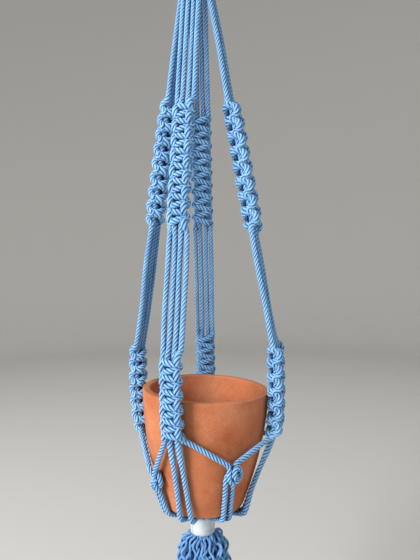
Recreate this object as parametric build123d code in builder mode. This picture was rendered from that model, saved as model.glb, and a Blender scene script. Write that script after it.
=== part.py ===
from build123d import *
import os
from math import acos, atan2, cos, hypot, radians, sin, sqrt
from typing import NamedTuple

# Hanging macrame planter, in mm. +Z is up and the front is towards -Y. The origin is where the hanging ring
# bears on its hook, at the top of the ring's inside. Azimuths run anticlockwise from +X, seen from above.

# --- cord ---
cord_d = 4.0  # twisted cotton cord
cord_pitch = 3.9  # cords that lie side by side press into each other a little
cord_space = 0.2  # more, where two cords part
seat_gap = 0.4  # between the pot and the soft cords that carry it

# --- hanging ring, and the loops of the folded cords over it ---
ring_wire_d = 9.0
ring_mean_d = 46.0
loop_gap = 0.4  # between the ring and the loops
loop_layer = 7.6  # two layers of cord, pressed together
loop_spread = 44.0  # degrees of the ring that the loops take up
loop_drop = 18.0  # from the middle of the ring's wire down to the taped neck
loop_eye = 12.5  # from the middle of the wire down to where the two sides of the loops meet
loop_flare = 0.2  # how fast the neck widens upwards, from the tape to the loops
swing_limit = 25.0  # degrees that the hanger swings each way on the ring

# --- gathered cords and the tape round them ---
bundle_d = 18.0  # sixteen cords drawn together
bundle_share = 0.6  # of its radius, where an arm's four cords lie in it
wedge_gap = (8.0, 3.0)  # degrees between the arms' shares of the bundle, near its middle and at its outside
ribbon_press = (1.0, 0.6)  # by how much an arm's flat row is narrower and thinner than its cords
tape_t = 1.0
tape_gap = 0.1
neck_tape_h = 20.0
band_h = 13.6

# --- terracotta pot ---
rim_d = 100.6
pot_h = 89.5
wall_bulge = 2.6  # how far the wall curves out from the straight line between foot and rim
bulge_h = 60.0
foot_d = 71.4
foot_h = 10.0
pot_wall = 6.0
pot_floor = 7.0
heel_r = 4.0
inner_heel_r = 8.0
rim_ease = 1.2
drain_d = 11.0
pot_lean = 2.5  # degrees, towards +X
pot_drop = 516.5  # from the hook down to the middle of the pot's base

# --- square-knot sinnets ---
sinnet_w = 17.0
sinnet_t = 11.5
wrap_h = 4.7  # one wrap is half a square knot
wrap_slant = 13.0  # degrees, this way and that in turn
wrap_ease = 1.2
wrap_corner = 3.6
upper_wraps = 16

# --- mid-knots between the arms ---
mid_w = 12.5
mid_t = 9.0
mid_wrap_h = 5.6
mid_wraps = 3
mid_slant = 22.0
mid_corner = 2.8

# --- the cords' gathering under the pot ---
fan_drop = 43.0  # below the neck's tape the cords of an arm lie flat, side by side
gather_r = 17.5  # under the pot the cords close up inside this radius
gather_depth = 6.7  # of the cords' middle there, below the pot's base
gather_slope = 0.41
gather_lap = 1.5  # how far the runs under the pot reach into the gathering
corner_share = 0.45  # of the shorter run, where a working cord bends over the pot's wall
band_top = 11.6  # below the pot's base

# --- tassel ---
tassel_h = 76.0
tassel_d = 47.0
tassel_gap = 0.3
tassel_head_r = 8.6
tassel_crown = (40.0, 70.0)  # degrees down from the top of its head, halfway along the crown and at its edge
tassel_shoulder = 0.44  # of its width, where the strands have spread
tassel_fall = 0.25  # slope of the strands where they leave the crown
tassel_tip = 0.42  # of its width, at the bottom


class Arm(NamedTuple):
    """An arm of four cords, knotted by hand at its own heights, which are measured down from the hook."""

    name: str
    azimuth: float
    upper_top: float
    upper_pitch: float
    lower_top: float
    lower_pitch: float
    lower_wraps: int
    stand_off: float  # of the lower sinnet from the pot's rim
    splay: tuple[float, float]  # where its two fillers lie, across the arm, as they round the pot's heel


class MidKnot(NamedTuple):
    """A knot that ties a cord of one arm to a cord of the next, at its height above the pot's base."""

    name: str
    azimuth: float
    height: float
    arm_before: int
    arm_after: int
    splay: tuple[float, float]  # where its two cords lie, across its azimuth, as they round the pot's heel


arms = [
    Arm("front", -110.0, 211.5, 5.75, 395.5, 4.95, 11, seat_gap, (-3.3, 5.7)),
    Arm("right", -20.0, 206.5, 6.0, 393.5, 5.4, 12, seat_gap, (-2.2, 2.6)),
    Arm("back", 87.0, 203.0, 5.6, 393.5, 5.1, 12, seat_gap, (-2.8, 2.2)),
    Arm("left", 163.0, 200.5, 5.8, 399.5, 5.15, 12, seat_gap + 1.4, (-2.1, 3.0)),
]
mid_knots = [
    MidKnot("front_right", -63.0, 40.5, 0, 1, (-0.4, 3.7)),
    MidKnot("back_right", 33.0, 38.0, 1, 2, (-2.2, 2.0)),
    MidKnot("back_left", 126.0, 36.0, 2, 3, (-2.0, 2.4)),
    MidKnot("front_left", -139.0, 28.0, 3, 0, (-2.1, 1.9)),
]

# --- heights and radii that follow from the sizes above ---
ring_middle = -(ring_mean_d - ring_wire_d) / 2
wire_middle = ring_middle - ring_mean_d / 2
neck_top = wire_middle - loop_drop
neck_bottom = neck_top - neck_tape_h
fan_bottom = neck_bottom - fan_drop
pot_base = -pot_drop
band_bottom = pot_base - band_top - band_h
bundle_r = bundle_d / 2
cord_r = cord_d / 2
lean = radians(pot_lean)
sway_axis = band_bottom - tassel_gap - tassel_head_r
mid_h = mid_wrap_h * mid_wraps
inside_knot = 2.5  # how far a cord is cut back into the knot that it comes out of
beside = cord_r + cord_space  # from a cord's middle to its neighbour's side


def circle_through(p, q, r):
    """Centre and radius of the arc through three points of the pot's outline."""
    ax, ay, bx, by = q[0] - p[0], q[1] - p[1], r[0] - p[0], r[1] - p[1]
    a2, b2 = ax * ax + ay * ay, bx * bx + by * by
    turn = 2 * (ax * by - ay * bx)
    cx, cy = (by * a2 - ay * b2) / turn, (ax * b2 - bx * a2) / turn
    return p[0] + cx, p[1] + cy, hypot(cx, cy)


straight_r = foot_d / 2 + (rim_d - foot_d) / 2 * (bulge_h - foot_h) / (pot_h - foot_h)
wall_x, wall_y, wall_r = circle_through(
    (foot_d / 2, foot_h), (straight_r + wall_bulge, bulge_h), (rim_d / 2, pot_h)
)
heel_x = wall_x + sqrt((wall_r - heel_r) ** 2 - (heel_r - wall_y) ** 2)


def wall_radius(height, out=0.0):
    """Radius at a height above the base of the pot's outer wall, or of a surface that stands out from it."""
    return wall_x + sqrt((wall_r + out) ** 2 - (height - wall_y) ** 2)


def from_pot(azimuth, radius, height):
    """Radius and height in the hanger of a place given in the leaning pot's own radius and height."""
    tip = lean * cos(radians(azimuth))
    return (
        radius * cos(tip) + height * sin(tip),
        pot_base + height * cos(tip) - radius * sin(tip),
    )


def to_pot(azimuth, radius, z):
    """The reverse of from_pot."""
    tip, up = lean * cos(radians(azimuth)), z - pot_base
    return radius * cos(tip) - up * sin(tip), up * cos(tip) + radius * sin(tip)


def outwards(azimuth):
    return Vector(cos(radians(azimuth)), sin(radians(azimuth)), 0)


def sideways(azimuth):
    """Horizontal direction across an arm, anticlockwise."""
    return Vector(-sin(radians(azimuth)), cos(radians(azimuth)), 0)


def place(azimuth, radius, z, aside=0.0):
    """Point at a radius and a height in an arm's upright plane, or beside that plane."""
    return outwards(azimuth) * radius + sideways(azimuth) * aside + Vector(0, 0, z)


def crosswise(azimuth, origin, along):
    """The plane across a run, with X across the arm."""
    return Plane(origin=origin, x_dir=sideways(azimuth), z_dir=along)


def rim_radius(arm):
    """Radius of the middle of the lower sinnet, which stands upright against the leaning rim."""
    return from_pot(arm.azimuth, rim_d / 2, pot_h)[0] + sinnet_t / 2 + arm.stand_off


def head(arm):
    """Where an arm's cords leave the taped neck."""
    return place(arm.azimuth, bundle_r * bundle_share, neck_bottom)


def foot(arm):
    """Where an arm's taut cords reach its lower sinnet."""
    return place(arm.azimuth, rim_radius(arm), -arm.lower_top)


def taut(arm, z):
    """Point at a height on the straight line that the weight pulls an arm into."""
    return head(arm) + (foot(arm) - head(arm)) * ((z - neck_bottom) / (-arm.lower_top - neck_bottom))


def pull(arm):
    """Direction of the taut line, upwards."""
    return (head(arm) - foot(arm)).normalized()


def lower_end(arm):
    """Height at which the lower sinnet ends."""
    return -arm.lower_top - arm.lower_wraps * arm.lower_pitch


def cords_in_row(plane, count):
    """Sketch of cords lying side by side."""
    with BuildSketch(plane) as row:
        with GridLocations(cord_pitch, 1, count, 1):
            Circle(cord_r)
    return row.sketch


def slanted(plane, rise, slant):
    """A plane raised along its own Z and then turned about its own Y."""
    return Plane(plane.offset(rise).location * Rotation(0, slant, 0))


def wraps_along(start, pitch, count):
    """Planes of the wraps of a knotted run, slanted this way and that, downwards from its start."""
    return [slanted(start, -pitch * (i + 0.5), wrap_slant * (-1) ** i) for i in range(count)]


def tangent_to(point, centre, radius, side):
    """Angle of the normal where a straight run from a point comes to lie on a round surface."""
    dx, dy = point[0] - centre[0], point[1] - centre[1]
    return atan2(dy, dx) + side * acos(radius / hypot(dx, dy))


def round_heel(azimuth, start):
    """Route (radius, z) of a taut cord from a point beside the pot, round its heel and in to the gathering.

    The run down bears on the wall, the run in bears on the heel, and they meet at the middle point's corner.
    """
    end = (gather_r - gather_lap, pot_base - gather_depth - gather_lap * gather_slope)
    out = cord_r + seat_gap
    wall = tangent_to(to_pot(azimuth, *start), (wall_x, wall_y), wall_r + out, -1)
    heel = tangent_to(to_pot(azimuth, *end), (heel_x, heel_r), heel_r + out, 1)
    reach_wall = wall_x * cos(wall) + wall_y * sin(wall) + wall_r + out
    reach_heel = heel_x * cos(heel) + heel_r * sin(heel) + heel_r + out
    turn = sin(heel - wall)
    corner = (
        (reach_wall * sin(heel) - reach_heel * sin(wall)) / turn,
        (reach_heel * cos(wall) - reach_wall * cos(heel)) / turn,
    )
    return [start, from_pot(azimuth, *corner), end]


def knot_plane(knot):
    """Plane across a mid-knot, which lies on the pot's wall, with Z up the wall."""
    out = mid_t / 2 + seat_gap
    level = wall_y + (wall_r + out) * (knot.height - wall_y) / wall_r
    radius, z = from_pot(knot.azimuth, wall_radius(level, out), level)
    tip = atan2(wall_y - knot.height, sqrt(wall_r**2 - (wall_y - knot.height) ** 2)) + lean * cos(
        radians(knot.azimuth)
    )
    up = outwards(knot.azimuth) * sin(tip) + Vector(0, 0, cos(tip))
    return crosswise(knot.azimuth, place(knot.azimuth, radius, z), up)


def working_route(arm, side, knot, knot_side):
    """Route of a working cord from a lower sinnet to a mid-knot, straight unless the pot is in its way."""
    start = place(arm.azimuth, rim_radius(arm), lower_end(arm) + inside_knot, side * (cord_pitch + beside))
    plane = knot_plane(knot)
    end = plane.from_local_coords((knot_side * beside, 0, mid_h / 2 - inside_knot))
    middle = (start + end) / 2
    azimuth = Vector(middle.X, middle.Y, 0).get_angle(Vector(1, 0, 0)) * (1 if middle.Y > 0 else -1)
    radius, height = to_pot(azimuth, hypot(middle.X, middle.Y), middle.Z)
    least = wall_radius(height, cord_r + 2 * seat_gap)
    if radius > least:
        return [start, end]
    return [start, place(azimuth, *from_pot(azimuth, least, height)), end]


os.makedirs("parts", exist_ok=True)


def save(part, name):
    """Label a finished piece and write it as its own node."""
    part.label = name
    export_step(part, f"parts/{name}.step")


# --- hanging ring: a turned ring of round section, upright, seen from the front ---
with BuildPart() as hanging_ring:
    with BuildSketch(Plane.YZ):
        with Locations((0, wire_middle)):
            Circle(ring_wire_d / 2)
    revolve(axis=Axis((0, 0, ring_middle), (0, 1, 0)))
save(hanging_ring.part, "hanging_ring")


# --- loops of the eight folded cords over the ring, drawn together into the taped neck ---
eye_r = ring_wire_d / 2 + loop_gap
loop_r = eye_r + loop_layer
# the ring curves up from the axis that the loops swing about, so they are wider than its wire by their play
play = ring_mean_d / 2 * (1 - cos(radians(loop_spread / 2))) * sin(radians(swing_limit))
ring_side = Plane(origin=(0, 0, ring_middle), x_dir=(0, 1, 0), z_dir=(1, 0, 0))
wire = wire_middle - ring_middle
neck = neck_top - ring_middle
shoulder_r = bundle_r + loop_flare * (ring_middle - neck_top)
with BuildSketch() as loop_outline:
    with Locations((-play, wire), (play, wire)):
        Circle(loop_r)
    with Locations((0, neck)):
        Rectangle(bundle_d, cord_d)
    make_hull()
with BuildSketch() as eye_outline:
    with Locations((-play, wire), (play, wire)):
        Circle(eye_r)
    with Locations((0, wire - loop_eye)):
        Circle(cord_r / 2)
    make_hull()
with BuildPart() as ring_loops:
    with BuildSketch(Plane(ring_side.location * Rotation(-loop_spread / 2, 0, 0))):
        add(loop_outline.sketch)
        add(eye_outline.sketch, mode=Mode.SUBTRACT)
    revolve(axis=Axis((0, 0, ring_middle), (0, 1, 0)), revolution_arc=loop_spread)
    split(bisect_by=Plane.XY.offset(neck_top), keep=Keep.TOP)
    with BuildSketch(Plane.XZ):
        with BuildLine():
            Polyline(
                (0, neck_top), (bundle_r, neck_top), (shoulder_r, ring_middle), (0, ring_middle), close=True
            )
        make_face()
    revolve(axis=Axis.Z, mode=Mode.INTERSECT)
    with BuildSketch(Plane.XY.offset(neck_bottom)):
        Circle(bundle_r)
    extrude(amount=neck_tape_h)
save(ring_loops.part, "ring_loops")


def tape(bottom, height):
    """A band of tape wound round the gathered cords."""
    with BuildPart() as band:
        with BuildSketch(Plane.XY.offset(bottom)):
            Circle(bundle_r + tape_gap + tape_t)
            Circle(bundle_r + tape_gap, mode=Mode.SUBTRACT)
        extrude(amount=height)
    return band.part


save(tape(neck_bottom, neck_tape_h), "neck_tape")
save(tape(band_bottom, band_h), "band_tape")


# --- one wrap of a square knot: the cord's turn round the two fillers ---
with BuildPart() as knot_wrap:
    with BuildSketch() as wrap_outline:
        Rectangle(sinnet_w, sinnet_t)
        chamfer(wrap_outline.vertices(), wrap_corner)
    extrude(amount=wrap_h / 2, both=True)
    ends = knot_wrap.faces().filter_by(Axis.Z)
    chamfer(ends.edges(), wrap_ease)


# --- the four arms, from the taped neck down to the end of the lower sinnets ---
sinnets = []
for index, arm in enumerate(arms):
    before, after = arms[index - 1].azimuth, arms[(index + 1) % len(arms)].azimuth
    clockwise = ((arm.azimuth - before) % 360) / 2
    anticlockwise = ((after - arm.azimuth) % 360) / 2
    upper_start = crosswise(arm.azimuth, taut(arm, -arm.upper_top), pull(arm))
    upper_h = upper_wraps * arm.upper_pitch
    upper_end = crosswise(arm.azimuth, upper_start.origin - pull(arm) * upper_h, pull(arm))
    fan_end = crosswise(arm.azimuth, taut(arm, fan_bottom), pull(arm))

    # the cords fan out of the bundle, each arm from its own share of it, and lie flat down to the first knot
    with BuildPart() as upper_cords:
        with BuildSketch(Plane.XY.offset(neck_bottom)):
            with BuildLine():
                Polyline(
                    place(arm.azimuth - clockwise + wedge_gap[0], cord_r, 0),
                    place(arm.azimuth - clockwise + wedge_gap[1], bundle_r, 0),
                    place(arm.azimuth + anticlockwise - wedge_gap[1], bundle_r, 0),
                    place(arm.azimuth + anticlockwise - wedge_gap[0], cord_r, 0),
                    close=True,
                )
            make_face()
        with BuildSketch(fan_end):
            Rectangle(4 * cord_pitch - ribbon_press[0], cord_d - ribbon_press[1])
        loft(ruled=True)
        with BuildSketch(upper_start):
            add(cords_in_row(Plane.XY, 4))
        extrude(amount=(fan_end.origin - upper_start.origin).length)
    save(upper_cords.part, f"upper_cords_{arm.name}")

    with BuildPart() as upper_sinnet:
        with BuildSketch(upper_end):
            Rectangle(2 * cord_pitch, cord_d)
        extrude(amount=upper_h)
        with Locations(*wraps_along(upper_start, arm.upper_pitch, upper_wraps)):
            add(knot_wrap.part)
        split(bisect_by=upper_start, keep=Keep.BOTTOM)
        split(bisect_by=upper_end, keep=Keep.TOP)
    save(upper_sinnet.part, f"upper_sinnet_{arm.name}")

    lower_start = crosswise(arm.azimuth, foot(arm), (0, 0, 1))
    with BuildPart() as middle_cords:
        with BuildSketch(upper_end):
            add(cords_in_row(Plane.XY, 4))
        extrude(amount=-(upper_end.origin - foot(arm)).length - cord_d)
        split(bisect_by=lower_start, keep=Keep.TOP)
    save(middle_cords.part, f"middle_cords_{arm.name}")

    lower_h = arm.lower_wraps * arm.lower_pitch
    lower_finish = lower_start.offset(-lower_h)
    with BuildPart() as lower_sinnet:
        with BuildSketch(lower_finish):
            Rectangle(2 * cord_pitch, cord_d)
        extrude(amount=lower_h)
        with Locations(*wraps_along(lower_start, arm.lower_pitch, arm.lower_wraps)):
            add(knot_wrap.part)
        split(bisect_by=lower_start, keep=Keep.BOTTOM)
        split(bisect_by=lower_finish, keep=Keep.TOP)
    sinnets.append(lower_sinnet.part)
    save(lower_sinnet.part, f"lower_sinnet_{arm.name}")


# --- gathering: under the pot the cords close up side by side, turn down and pass through the band ---
face = cord_r / sqrt(1 + gather_slope**2)
rise = gather_slope * face
with BuildPart() as gather:
    with BuildSketch(Plane.XZ):
        with BuildLine():
            Polyline(
                (0, pot_base - band_top + cord_r),
                (bundle_r, pot_base - band_top + cord_r),
                (gather_r + rise, pot_base - gather_depth + face),
                (gather_r - rise, pot_base - gather_depth - face),
                (bundle_r, pot_base - band_top),
                (bundle_r, band_bottom),
                (0, band_bottom),
                close=True,
            )
        make_face()
    revolve(axis=Axis.Z)
save(gather.part, "cord_gather")


def run_down(azimuth, start, splay, cut_from):
    """Two cords from a knot down the pot's wall, round its heel and in to the gathering."""
    route = round_heel(azimuth, start)
    with BuildPart() as pair:
        for side, aside in zip((-1, 1), splay):
            with BuildLine() as run:
                FilletPolyline(
                    place(azimuth, *route[0], side * cord_pitch / 2),
                    place(azimuth, *route[1], aside),
                    place(azimuth, *route[2], side * cord_pitch / 2),
                    radius=[heel_r + cord_r + seat_gap],
                )
            with BuildSketch(Plane(origin=run.line @ 0, z_dir=run.line % 0)):
                Circle(cord_r)
            sweep()
        add(cut_from, mode=Mode.SUBTRACT)
        add(gather.part, mode=Mode.SUBTRACT)
    return pair.part


for arm, sinnet in zip(arms, sinnets):
    fillers = run_down(arm.azimuth, (rim_radius(arm), lower_end(arm) + inside_knot), arm.splay, sinnet)
    save(fillers, f"filler_cords_{arm.name}")


# --- one wrap of a mid-knot ---
with BuildPart() as mid_wrap:
    with BuildSketch() as mid_outline:
        Rectangle(mid_w, mid_t)
        chamfer(mid_outline.vertices(), mid_corner)
    extrude(amount=mid_wrap_h / 2, both=True)
    chamfer(mid_wrap.faces().filter_by(Axis.Z).edges(), wrap_ease)


# --- mid-knots, with the working cords that come to them and the pairs that leave them ---
for knot in mid_knots:
    plane = knot_plane(knot)
    levels = [(i - (mid_wraps - 1) / 2) * mid_wrap_h for i in range(mid_wraps)]
    with BuildPart() as mid_knot:
        with BuildSketch(plane.offset(-mid_h / 2)):
            Rectangle(2 * cord_pitch, cord_d)
        extrude(amount=mid_h)
        with Locations(*[slanted(plane, level, mid_slant) for level in levels]):
            add(mid_wrap.part)
    save(mid_knot.part, f"mid_knot_{knot.name}")

    # the lowest wrap is slanted, so the pair is cut back further into it
    below = plane.from_local_coords((0, 0, 2 * inside_knot - mid_h / 2))
    pair_cords = run_down(knot.azimuth, (hypot(below.X, below.Y), below.Z), knot.splay, mid_knot.part)
    save(pair_cords, f"pair_cords_{knot.name}")

    for side, index in ((1, knot.arm_before), (-1, knot.arm_after)):
        arm = arms[index]
        route = working_route(arm, side, knot, -side)
        with BuildPart() as working_cord:
            with BuildLine() as run:
                if len(route) == 2:
                    Line(*route)
                else:
                    runs = [(b - a) for a, b in zip(route, route[1:])]
                    half_turn = radians(runs[0].get_angle(runs[1])) / 2
                    reach = corner_share * min(r.length for r in runs)
                    FilletPolyline(*route, radius=[reach * cos(half_turn) / sin(half_turn)])
            with BuildSketch(Plane(origin=run.line @ 0, z_dir=run.line % 0)):
                Circle(cord_r)
            sweep()
            add(sinnets[index], mode=Mode.SUBTRACT)
            add(mid_knot.part, mode=Mode.SUBTRACT)
        save(working_cord.part, f"working_cord_{arm.name}_{knot.name}")


# --- terracotta pot: thrown wall of even thickness, rounded heel, flat eased rim and a drainage hole ---
pot_axis = Axis((0, 0, pot_base), (sin(lean), 0, cos(lean)))
pot_section = Plane(origin=(0, 0, pot_base), x_dir=(cos(lean), 0, -sin(lean)), z_dir=(0, -1, 0))
with BuildPart() as pot:
    with BuildSketch(pot_section) as section:
        with BuildLine():
            outer = ThreePointArc(
                (wall_radius(0), 0), (wall_radius(pot_h / 2), pot_h / 2), (wall_radius(pot_h), pot_h)
            )
            inner = ThreePointArc(
                (wall_radius(pot_h, -pot_wall), pot_h),
                (wall_radius(pot_h / 2, -pot_wall), pot_h / 2),
                (wall_radius(pot_floor, -pot_wall), pot_floor),
            )
            rim = Line(outer @ 1, inner @ 0)
            Polyline(inner @ 1, (drain_d / 2, pot_floor), (drain_d / 2, 0), outer @ 0)
        make_face()
        fillet(section.vertices().sort_by_distance(rim @ 0.5)[:2], rim_ease)
        fillet(section.vertices().sort_by_distance(outer @ 0)[0], heel_r)
        fillet(section.vertices().sort_by_distance(inner @ 1)[0], inner_heel_r)
    revolve(axis=pot_axis)
save(pot.part, "terracotta_pot")


# --- tassel: the cords' ends, unplied below the band and splayed, as one soft body with a round head ---
with BuildPart() as tassel:
    with BuildSketch(Plane.XZ):
        with BuildLine():
            crown = ThreePointArc(
                (0, sway_axis + tassel_head_r),
                *[
                    (tassel_head_r * sin(radians(a)), sway_axis + tassel_head_r * cos(radians(a)))
                    for a in tassel_crown
                ],
            )
            shoulder = TangentArc(
                crown @ 1,
                (tassel_d * tassel_shoulder, sway_axis - tassel_head_r),
                tangent=(1, -tassel_fall),
            )
            splay = ThreePointArc(
                shoulder @ 1,
                (tassel_d / 2, band_bottom - tassel_h / 2),
                (tassel_d * tassel_tip, band_bottom - tassel_h),
            )
            Polyline(splay @ 1, (0, band_bottom - tassel_h), crown @ 0)
        make_face()
    revolve(axis=Axis.Z)
save(tassel.part, "tassel")
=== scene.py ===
import logging
import math
import random
from dataclasses import dataclass, field
from enum import Enum

import bmesh
import bpy
import numpy as np
from mathutils import Matrix, Vector

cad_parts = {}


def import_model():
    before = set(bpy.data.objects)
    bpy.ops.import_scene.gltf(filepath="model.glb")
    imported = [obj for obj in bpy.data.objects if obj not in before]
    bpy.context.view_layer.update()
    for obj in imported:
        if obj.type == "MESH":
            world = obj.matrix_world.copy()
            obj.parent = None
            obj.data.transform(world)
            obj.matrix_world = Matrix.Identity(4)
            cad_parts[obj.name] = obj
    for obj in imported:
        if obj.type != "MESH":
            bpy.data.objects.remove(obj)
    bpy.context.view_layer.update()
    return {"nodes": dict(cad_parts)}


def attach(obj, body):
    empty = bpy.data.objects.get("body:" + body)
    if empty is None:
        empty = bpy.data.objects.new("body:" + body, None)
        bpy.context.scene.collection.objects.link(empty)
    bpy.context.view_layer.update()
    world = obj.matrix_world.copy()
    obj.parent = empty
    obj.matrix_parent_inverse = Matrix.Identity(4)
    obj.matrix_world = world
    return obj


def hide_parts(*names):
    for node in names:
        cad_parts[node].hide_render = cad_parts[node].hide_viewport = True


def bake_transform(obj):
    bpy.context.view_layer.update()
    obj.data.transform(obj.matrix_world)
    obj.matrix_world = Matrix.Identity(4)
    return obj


log = logging.getLogger("planter")
MM = 0.001
CORD_R = 2.0
GOLDEN_ANGLE = 137.508


class Side(Enum):
    """Which way across an arm a cord lies."""

    CLOCKWISE = -1
    ANTICLOCKWISE = 1


class Layer(Enum):
    """Which of the two working cords of a square knot a cord is."""

    FRONT = 1
    BACK = -1


# --- small helpers ---


def linear(hex_colour: str) -> tuple[float, float, float, float]:
    """Linear colour of an sRGB hex value.

    Args:
        hex_colour: six hex digits with a leading #.

    Returns:
        Red, green, blue and alpha.
    """
    parts = [int(hex_colour[i : i + 2], 16) / 255 for i in (1, 3, 5)]
    return (*[c / 12.92 if c <= 0.04045 else ((c + 0.055) / 1.055) ** 2.4 for c in parts], 1.0)


def settle(node: bpy.types.Node, settings: dict, links: dict) -> bpy.types.Node:
    """Give a node its settings and links.

    Args:
        node: the node.
        settings: values for its properties and input sockets, with a colour ramp's stops under "stops".
        links: input socket to the output socket that feeds it.

    Returns:
        The node.
    """
    for key, value in settings.items():
        if key == "stops":
            elements = node.color_ramp.elements
            for _ in value[2:]:
                elements.new(0.5)
            for element, (position, colour) in zip(elements, value):
                element.position, element.color = position, linear(colour)
        elif isinstance(key, str) and hasattr(node, key):
            setattr(node, key, value)
        else:
            node.inputs[key].default_value = value
    for key, socket in links.items():
        node.id_data.links.new(socket, node.inputs[key])
    return node


def add(
    tree: bpy.types.NodeTree, kind: str, settings: dict | None = None, links: dict | None = None
) -> bpy.types.Node:
    """Add a node with its settings and links.

    Args:
        tree: the material's node tree.
        kind: the node's type.
        settings: as settle takes them.
        links: as settle takes them.

    Returns:
        The new node.
    """
    return settle(tree.nodes.new(kind), settings or {}, links or {})


def link_object(mesh: bpy.types.Mesh, name: str) -> bpy.types.Object:
    """Put a mesh in the scene as an object at the origin.

    Args:
        mesh: the finished mesh, in metres.
        name: the piece's name.

    Returns:
        The object.
    """
    mesh.name = name
    made = bpy.data.objects.new(name, mesh)
    bpy.context.scene.collection.objects.link(made)
    return made


def smooth(mesh: bpy.types.Mesh) -> None:
    """Shade a mesh smooth."""
    mesh.polygons.foreach_set("use_smooth", [True] * len(mesh.polygons))


def put_in_order(shell: bmesh.types.BMesh) -> None:
    """Sort a shell's edges and faces by their points, because spin and solidify leave them in no fixed order.

    Args:
        shell: the shell, of up to a few thousand points.
    """
    shell.verts.index_update()
    base = len(shell.verts)
    for parts in (shell.edges, shell.faces):
        parts.sort(
            key=lambda part: sum(
                index * base**power for power, index in enumerate(sorted(v.index for v in part.verts))
            )
        )


# --- finishes ---


@dataclass(frozen=True)
class Finish:
    """A surface finish, which becomes a material of the same name."""

    name: str = "bare"

    def material(self) -> bpy.types.Material:
        """Make the finish's material.

        Returns:
            The material.
        """
        made = bpy.data.materials.new(self.name)
        made.use_nodes = True
        settle(made.node_tree.nodes["Principled BSDF"], *self.surface(made.node_tree))
        return made

    def surface(self, tree: bpy.types.NodeTree) -> tuple[dict, dict]:
        """Add the finish's own nodes.

        Args:
            tree: the material's node tree.

        Returns:
            The shader's settings and its links.
        """
        raise NotImplementedError


@dataclass(frozen=True)
class TwistedCotton(Finish):
    """Dyed cotton in a four-strand twist: matt, slightly fuzzy, with shade painted dark into the grooves
    between its strands and the crevices between cords.
    """

    name: str = "twisted_cotton_cornflower"
    # painted light and shade: crest is the dye painted paler where the strands' tops catch the light, flank
    # the cord's middle blue, and groove the painted shade deep in the grooves
    crest: str = "#98CDF6"
    flank: str = "#5089CA"
    groove_shade: str = "#0C2C66"
    sheen: str = "#CFE8FF"
    fibre_pitch: float = 0.45  # mm between fibres' bundles, the finest that still show
    crevice: float = 3.2  # mm within which other cords take the light away

    def surface(self, tree: bpy.types.NodeTree) -> tuple[dict, dict]:
        """Add fibres that follow each strand's own fibre attribute, in mm, and painted shade in the grooves
        and crevices.

        Args:
            tree: the material's node tree.

        Returns:
            The shader's settings and its links.
        """
        fibre = add(tree, "ShaderNodeAttribute", {"attribute_name": "fibre"}).outputs["Vector"]
        crest = add(tree, "ShaderNodeAttribute", {"attribute_name": "crest"}).outputs["Fac"]
        # the combed fibres lie nearly along a strand, so the noise is stretched five times along it
        scale = (0.2 / self.fibre_pitch, 1 / self.fibre_pitch, 1 / self.fibre_pitch)
        fibre = add(tree, "ShaderNodeMapping", {"Scale": scale}, {"Vector": fibre}).outputs["Vector"]
        streak = add(
            tree, "ShaderNodeTexNoise", {"Scale": 1.0, "Detail": 3.0, "Roughness": 0.6}, {"Vector": fibre}
        ).outputs["Fac"]
        # the dye took unevenly, in patches of about 20 mm
        place = add(tree, "ShaderNodeTexCoord").outputs["Object"]
        patch = add(
            tree, "ShaderNodeTexNoise", {"Scale": 55.0, "Detail": 2.0}, {"Vector": place}
        ).outputs["Fac"]
        # each noise, brought round to zero, shifts the level that the ramp reads
        streaks = add(tree, "ShaderNodeMath", {"operation": "MULTIPLY_ADD", 1: 0.34, 2: -0.17}, {0: streak})
        level = add(tree, "ShaderNodeMath", {"operation": "ADD"}, {0: crest, 1: streaks.outputs[0]})
        patches = add(tree, "ShaderNodeMath", {"operation": "MULTIPLY_ADD", 1: 0.3, 2: -0.15}, {0: patch})
        level = add(
            tree,
            "ShaderNodeMath",
            {"operation": "ADD", "use_clamp": True},
            {0: level.outputs[0], 1: patches.outputs[0]},
        )
        # painted shade and light: by the crest attribute, the ramp runs from the dark groove colour between
        # the strands to the pale, lit crests
        stops = [(0.24, self.groove_shade), (0.62, self.flank), (0.97, self.crest)]
        dyed_and_shaded = add(tree, "ShaderNodeValToRGB", {"stops": stops}, {"Fac": level.outputs[0]}).outputs["Color"]
        # painted shade: ambient occlusion finds the crevices between cords, and these take the groove's dark
        # colour
        open_sky = add(tree, "ShaderNodeAmbientOcclusion", {"Distance": self.crevice * MM, "samples": 6})
        open_sky = add(tree, "ShaderNodeMath", {"operation": "POWER", 1: 1.1}, {0: open_sky.outputs["AO"]})
        colour = add(
            tree,
            "ShaderNodeMix",
            {"data_type": "RGBA", 6: linear(self.groove_shade)},
            {0: open_sky.outputs[0], 7: dyed_and_shaded},
        )
        bump = add(tree, "ShaderNodeBump", {"Strength": 0.5, "Distance": 0.12 * MM}, {"Height": streak})
        return {
            "Roughness": 0.92,
            "Specular IOR Level": 0.25,
            "Sheen Weight": 0.12,
            "Sheen Roughness": 0.6,
            "Sheen Tint": linear(self.sheen),
        }, {"Base Color": colour.outputs[2], "Normal": bump.outputs["Normal"]}


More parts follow.
